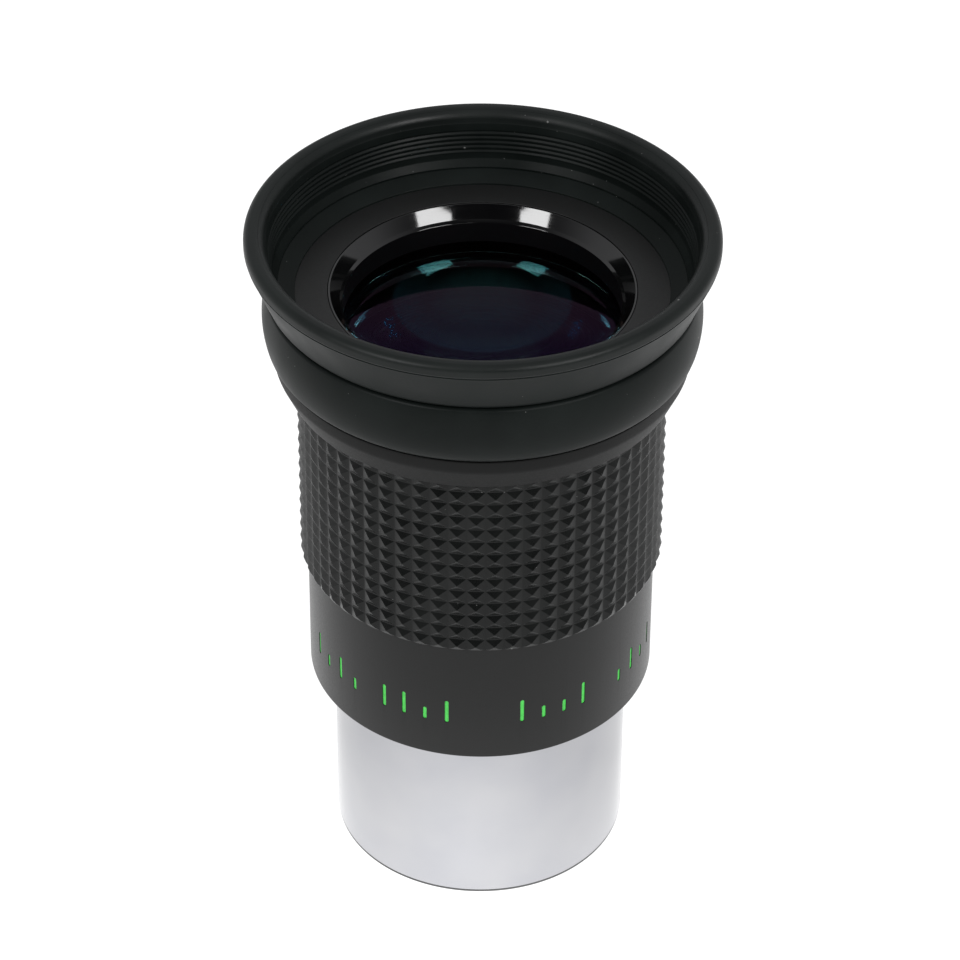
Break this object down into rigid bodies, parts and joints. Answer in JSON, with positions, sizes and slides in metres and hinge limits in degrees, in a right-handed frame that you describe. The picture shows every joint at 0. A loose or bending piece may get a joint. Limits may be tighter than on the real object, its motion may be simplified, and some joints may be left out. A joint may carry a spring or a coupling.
{
  "type": "telescope eyepiece",
  "caption": "Telescope eyepiece with a chromed push-fit barrel, a rubber grip, a coated lens stack and a rubber eyecup that folds down.",
  "frame": {"origin": "centre of the barrel's open end, where the eyepiece rests when it is stood up", "axes": "+Z along the optical axis, from the barrel's open end towards the eye"},
  "size_m": [0.0488, 0.0488, 0.0768],
  "materials": {
    "chrome_barrel": "polished chrome plate on brass",
    "black_anodised": "satin black anodised",
    "matte_black_ring": "matte black anodised",
    "green_paint": "enamel paint in an engraved line",
    "grip_rubber": "moulded rubber with small pyramids",
    "eyecup_rubber": "soft moulded rubber, satin",
    "gloss_black_ring": "gloss black anodised",
    "coated_glass": "anti-reflection coated optical flint glass",
    "crown_glass": "polished optical crown glass"
  },
  "bodies": {
    "body": {"barrel": "chrome_barrel", "field_stop": "matte_black_ring", "housing": "black_anodised", "engraving_fill": "green_paint", "grip_sleeve": "grip_rubber", "field_lens_flint": "coated_glass", "field_lens_crown": "crown_glass", "lens_spacer": "matte_black_ring", "eye_lens_crown": "crown_glass", "eye_lens_flint": "coated_glass", "eye_lens_retainer": "gloss_black_ring", "eyecup_base": "eyecup_rubber", "eyecup_skirt": "eyecup_rubber"},
    "rim": {"eyecup_rim": "eyecup_rubber"}
  },
  "joints": [
    {"name": "eyecup_fold", "type": "slide", "parent": "body", "child": "rim", "axis": [0, 0, 1], "range_m": [-0.0105, 0], "deforming": ["eyecup_skirt"]}
  ]
}
